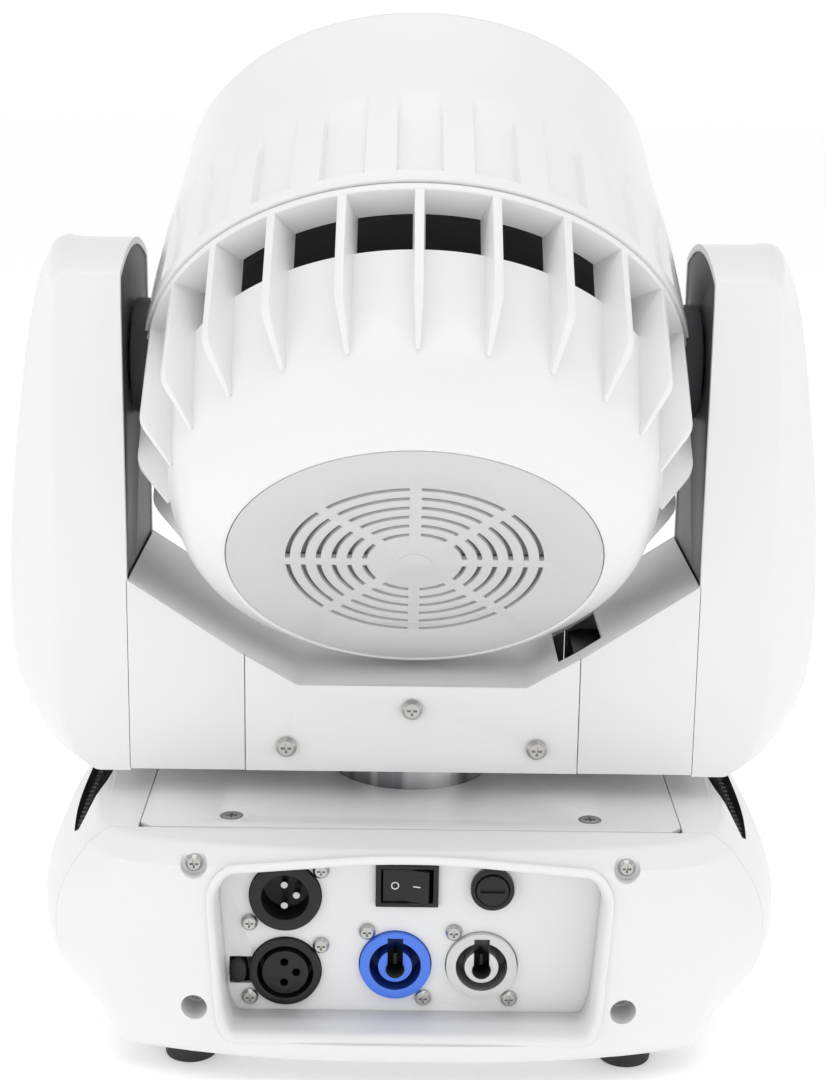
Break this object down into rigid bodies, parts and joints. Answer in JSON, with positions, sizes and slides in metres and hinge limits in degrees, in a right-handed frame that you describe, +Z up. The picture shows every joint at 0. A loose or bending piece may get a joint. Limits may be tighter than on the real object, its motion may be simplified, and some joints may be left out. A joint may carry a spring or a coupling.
{
  "type": "moving head light",
  "caption": "Moving head wash light: a base with connector panel and hand grips, a two-arm yoke that pans, and a finned head with a lens array that tilts and zooms.",
  "frame": {"origin": "centre of the bracket hole pattern in the base pan's underside, on the pan axis; the feet reach 9 mm below it", "axes": "+Z up along the pan axis, -Y the connector side, +Y the display side, X along the tilt axis. The head rests tilted 47.8 degrees from straight up towards +Y"},
  "size_m": [0.288, 0.2246, 0.348],
  "materials": {
    "white_shell": "gloss moulded white with a fine moulding texture",
    "white_metal": "gloss white powder coat on sheet steel",
    "grille_grey": "satin light grey coat",
    "dark_metal": "dark grey satin coat",
    "black_plastic": "black moulded nylon",
    "blue_plastic": "blue moulded connector plastic",
    "grey_plastic": "light grey moulded connector plastic",
    "rubber": "black rubber",
    "belt_rubber": "toothed drive belt",
    "bright_tube": "turned and polished",
    "bare_aluminium": "bare extruded and turned",
    "screw_steel": "nickel plated",
    "bearing_steel": "ground",
    "brass": "plated contacts",
    "board_green": "solder mask",
    "motor_black": "black coat",
    "lens_clear": "clear moulded lenses",
    "window_dark": "smoked window"
  },
  "bodies": {
    "base": {"base_pan": "white_metal", "base_side_walls": "white_metal", "base_top_plate": "white_metal", "rear_cover": "white_shell", "front_cover": "white_shell", "side_cover_left": "white_shell", "side_cover_right": "white_shell", "connector_panel": "white_metal", "rubber_feet": "rubber", "dmx_in_connector": "black_plastic", "dmx_out_connector": "black_plastic", "power_in_connector": "blue_plastic", "power_out_connector": "grey_plastic", "connector_contacts": "brass", "switch_housing": "black_plastic", "fuse_holder": "black_plastic", "connector_screws": "screw_steel", "cover_screws": "screw_steel", "top_plate_screws": "screw_steel", "power_supply": "bare_aluminium", "main_board": "board_green", "display_window": "window_dark", "pan_tube": "bright_tube", "pan_fixed_pulley": "bare_aluminium"},
    "yoke": {"yoke_crossbar": "white_metal", "yoke_floor": "white_metal", "yoke_centre_covers": "white_shell", "arm_cover_left": "white_shell", "arm_cover_right": "white_shell", "arm_plate_left": "dark_metal", "arm_plate_right": "dark_metal", "yoke_screws": "screw_steel", "pan_bearing": "bearing_steel", "pan_belt": "belt_rubber", "pan_motor": "motor_black", "tilt_bearings": "bearing_steel", "tilt_motor": "motor_black", "tilt_belt": "belt_rubber"},
    "head": {"tilt_hubs": "dark_metal", "tilt_pulley": "bare_aluminium", "head_rear_shell": "white_shell", "head_front_bell": "white_shell", "rear_grille": "grille_grey", "head_chassis": "dark_metal", "heat_sink": "bare_aluminium", "led_board": "board_green", "zoom_motor": "motor_black", "fan_frame": "black_plastic"},
    "lenses": {"lens_array": "lens_clear"},
    "zoom_screw": {"zoom_screw": "screw_steel"},
    "fan": {"fan_rotor": "black_plastic"},
    "pan_pinion": {"pan_motor_pulley": "bare_aluminium"},
    "tilt_pinion": {"tilt_motor_pulley": "bare_aluminium"},
    "rocker": {"switch_rocker": "black_plastic"},
    "latch": {"dmx_out_latch": "black_plastic"},
    "fuse_cap": {"fuse_cap": "black_plastic"},
    "button_1": {"menu_button_1": "black_plastic"},
    "button_2": {"menu_button_2": "black_plastic"},
    "button_3": {"menu_button_3": "black_plastic"},
    "button_4": {"menu_button_4": "black_plastic"}
  },
  "joints": [
    {"name": "pan", "type": "hinge", "parent": "base", "child": "yoke", "pos_m": [0, 0, 0.0827], "axis": [0, 0, 1], "range_deg": [-270, 270]},
    {"name": "tilt", "type": "hinge", "parent": "yoke", "child": "head", "pos_m": [0, 0, 0.222], "axis": [1, 0, 0], "range_deg": [-57, 152]},
    {"name": "pan_pinion_turn", "type": "hinge", "parent": "yoke", "child": "pan_pinion", "pos_m": [0.075, 0, 0.096], "axis": [0, 0, 1], "range_deg": [-1360, 1360]},
    {"name": "tilt_pinion_turn", "type": "hinge", "parent": "yoke", "child": "tilt_pinion", "pos_m": [-0.1094, 0, 0.135], "axis": [1, 0, 0], "range_deg": [-290, 770]},
    {"name": "fan_spin", "type": "hinge", "parent": "head", "child": "fan", "pos_m": [0, -0.04889, 0.17767], "axis": [0, 0.7408, 0.6717], "continuous": true},
    {"name": "zoom", "type": "slide", "parent": "head", "child": "lenses", "axis": [0, 0.7408, 0.6717], "range_m": [0, 0.018]},
    {"name": "zoom_screw_turn", "type": "hinge", "parent": "head", "child": "zoom_screw", "pos_m": [0.0589, 0.04358, 0.21562], "axis": [0, 0.7408, 0.6717], "range_deg": [-2170, 5]},
    {"name": "power_rocker", "type": "hinge", "parent": "base", "child": "rocker", "pos_m": [-0.001, -0.0727, 0.0565], "axis": [0, 0, 1], "range_deg": [0, 16]},
    {"name": "latch_push", "type": "slide", "parent": "base", "child": "latch", "axis": [0, 1, 0], "range_m": [0, 0.0015], "stiffness_N_per_m": 400},
    {"name": "fuse_cap_turn", "type": "hinge", "parent": "base", "child": "fuse_cap", "pos_m": [0.0275, -0.0736, 0.056], "axis": [0, -1, 0], "range_deg": [0, 90]},
    {"name": "button_1_press", "type": "slide", "parent": "base", "child": "button_1", "axis": [0, -1, 0], "range_m": [0, 0.0008], "stiffness_N_per_m": 600},
    {"name": "button_2_press", "type": "slide", "parent": "base", "child": "button_2", "axis": [0, -1, 0], "range_m": [0, 0.0008], "stiffness_N_per_m": 600},
    {"name": "button_3_press", "type": "slide", "parent": "base", "child": "button_3", "axis": [0, -1, 0], "range_m": [0, 0.0008], "stiffness_N_per_m": 600},
    {"name": "button_4_press", "type": "slide", "parent": "base", "child": "button_4", "axis": [0, -1, 0], "range_m": [0, 0.0008], "stiffness_N_per_m": 600}
  ],
  "couplings": [
    {"joint": "pan_pinion_turn", "follows": "pan", "ratio": -5},
    {"joint": "tilt_pinion_turn", "follows": "tilt", "ratio": 5},
    {"joint": "zoom_screw_turn", "follows": "zoom", "rad_per_m": -2094.4}
  ]
}
